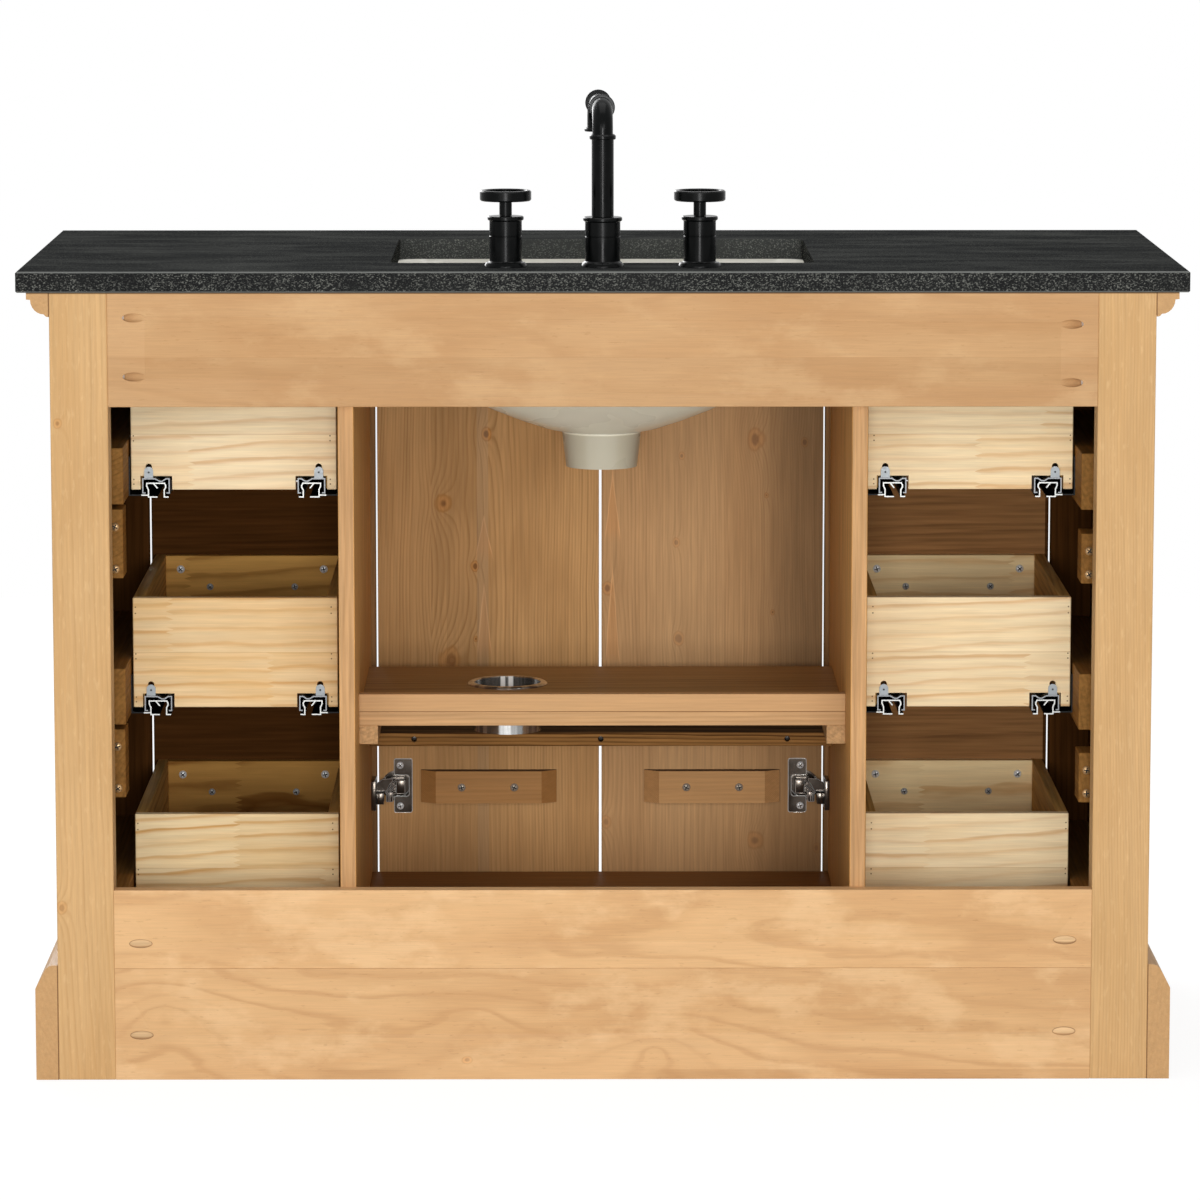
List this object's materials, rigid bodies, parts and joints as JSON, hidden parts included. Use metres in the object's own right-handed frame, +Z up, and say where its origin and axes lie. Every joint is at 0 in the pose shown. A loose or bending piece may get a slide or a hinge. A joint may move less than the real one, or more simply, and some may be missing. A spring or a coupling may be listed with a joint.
{
  "type": "bathroom vanity unit",
  "caption": "Bathroom vanity with a stone top, undermount basin and pipe-style faucet, on an open-backed wooden cabinet with inset doors, drawers and a centre shelf.",
  "frame": {"origin": "on the floor, under the middle of the unit's bounding box", "axes": "+X to the user's right along the width, +Y to the wall behind, +Z up; the doors face -Y"},
  "size_m": [1.2192, 0.57, 1.0348],
  "materials": {
    "black_stone": "honed, fine grey speckle",
    "basin_ceramic": "glossy inside, matt warm grey underneath",
    "post_wood": "clear matt lacquer on pine",
    "rail_wood": "clear matt lacquer on pine",
    "plug_wood": "end grain, sanded flush",
    "case_wood": "clear satin lacquer on pine",
    "interior_wood": "brown stain, matt",
    "block_wood": "unfinished pine",
    "door_wood": "brown stain, matt",
    "batten_wood": "brown stain, matt",
    "drawer_pine": "unfinished striped pine",
    "black_metal": "satin black",
    "hinge_nickel": "dark nickel plate",
    "dark_runner_steel": "dark zinc plate",
    "runner_steel": "zinc plate",
    "zinc_steel": "zinc plate",
    "stainless_steel": "spun and polished",
    "nut_brass": "plain turned brass"
  },
  "bodies": {
    "cabinet": {"countertop": "black_stone", "sink_basin": "basin_ceramic", "rear_posts": "post_wood", "rear_top_rail": "rail_wood", "rear_bottom_rail": "rail_wood", "rail_plugs": "plug_wood", "pocket_screws": "zinc_steel", "side_panels": "case_wood", "partitions": "case_wood", "cabinet_floor": "interior_wood", "face_frame_stiles": "case_wood", "face_frame_rails": "case_wood", "base_moulding": "case_wood", "cornice_moulding": "case_wood", "centre_shelf": "interior_wood", "shelf_lip": "rail_wood", "shelf_cleats": "rail_wood", "shelf_apron": "interior_wood", "dryer_cup": "stainless_steel", "runner_spacers": "block_wood", "fixed_runners": "dark_runner_steel", "hinge_arms": "hinge_nickel", "spout_base": "black_metal", "valve_bodies": "black_metal", "faucet_nuts": "nut_brass"},
    "spout": {"spout": "black_metal"},
    "hot_wheel": {"hot_wheel": "black_metal"},
    "cold_wheel": {"cold_wheel": "black_metal"},
    "door_left": {"door_left_panel": "door_wood", "door_left_battens": "batten_wood", "door_left_hinge_cups": "hinge_nickel", "door_left_pull": "black_metal"},
    "door_right": {"door_right_panel": "door_wood", "door_right_battens": "batten_wood", "door_right_hinge_cups": "hinge_nickel", "door_right_pull": "black_metal"},
    "drawer_left_bottom": {"drawer_left_bottom_front": "case_wood", "drawer_left_bottom_box": "drawer_pine", "drawer_left_bottom_runners": "runner_steel", "drawer_left_bottom_pull": "black_metal"},
    "drawer_left_middle": {"drawer_left_middle_front": "case_wood", "drawer_left_middle_box": "drawer_pine", "drawer_left_middle_runners": "runner_steel", "drawer_left_middle_pull": "black_metal"},
    "drawer_left_top": {"drawer_left_top_front": "case_wood", "drawer_left_top_box": "drawer_pine", "drawer_left_top_runners": "runner_steel", "drawer_left_top_pull": "black_metal"},
    "drawer_right_bottom": {"drawer_right_bottom_front": "case_wood", "drawer_right_bottom_box": "drawer_pine", "drawer_right_bottom_runners": "runner_steel", "drawer_right_bottom_pull": "black_metal"},
    "drawer_right_middle": {"drawer_right_middle_front": "case_wood", "drawer_right_middle_box": "drawer_pine", "drawer_right_middle_runners": "runner_steel", "drawer_right_middle_pull": "black_metal"},
    "drawer_right_top": {"drawer_right_top_front": "case_wood", "drawer_right_top_box": "drawer_pine", "drawer_right_top_runners": "runner_steel", "drawer_right_top_pull": "black_metal"}
  },
  "joints": [
    {"name": "spout_swivel", "type": "hinge", "parent": "cabinet", "child": "spout", "pos_m": [0, 0.221, 0.9], "axis": [0, 0, 1], "range_deg": [-60, 60]},
    {"name": "hot_valve", "type": "hinge", "parent": "cabinet", "child": "hot_wheel", "pos_m": [-0.1016, 0.221, 0.92], "axis": [0, 0, 1], "range_deg": [0, 90]},
    {"name": "cold_valve", "type": "hinge", "parent": "cabinet", "child": "cold_wheel", "pos_m": [0.1016, 0.221, 0.92], "axis": [0, 0, -1], "range_deg": [0, 90]},
    {"name": "door_left_hinge", "type": "hinge", "parent": "cabinet", "child": "door_left", "pos_m": [-0.247, -0.254, 0.4555], "axis": [0, 0, -1], "range_deg": [0, 90]},
    {"name": "door_right_hinge", "type": "hinge", "parent": "cabinet", "child": "door_right", "pos_m": [0.247, -0.254, 0.4555], "axis": [0, 0, 1], "range_deg": [0, 90]},
    {"name": "drawer_left_bottom_slide", "type": "slide", "parent": "cabinet", "child": "drawer_left_bottom", "axis": [0, -1, 0], "range_m": [0, 0.26]},
    {"name": "drawer_left_middle_slide", "type": "slide", "parent": "cabinet", "child": "drawer_left_middle", "axis": [0, -1, 0], "range_m": [0, 0.26]},
    {"name": "drawer_left_top_slide", "type": "slide", "parent": "cabinet", "child": "drawer_left_top", "axis": [0, -1, 0], "range_m": [0, 0.26]},
    {"name": "drawer_right_bottom_slide", "type": "slide", "parent": "cabinet", "child": "drawer_right_bottom", "axis": [0, -1, 0], "range_m": [0, 0.26]},
    {"name": "drawer_right_middle_slide", "type": "slide", "parent": "cabinet", "child": "drawer_right_middle", "axis": [0, -1, 0], "range_m": [0, 0.26]},
    {"name": "drawer_right_top_slide", "type": "slide", "parent": "cabinet", "child": "drawer_right_top", "axis": [0, -1, 0], "range_m": [0, 0.26]}
  ]
}
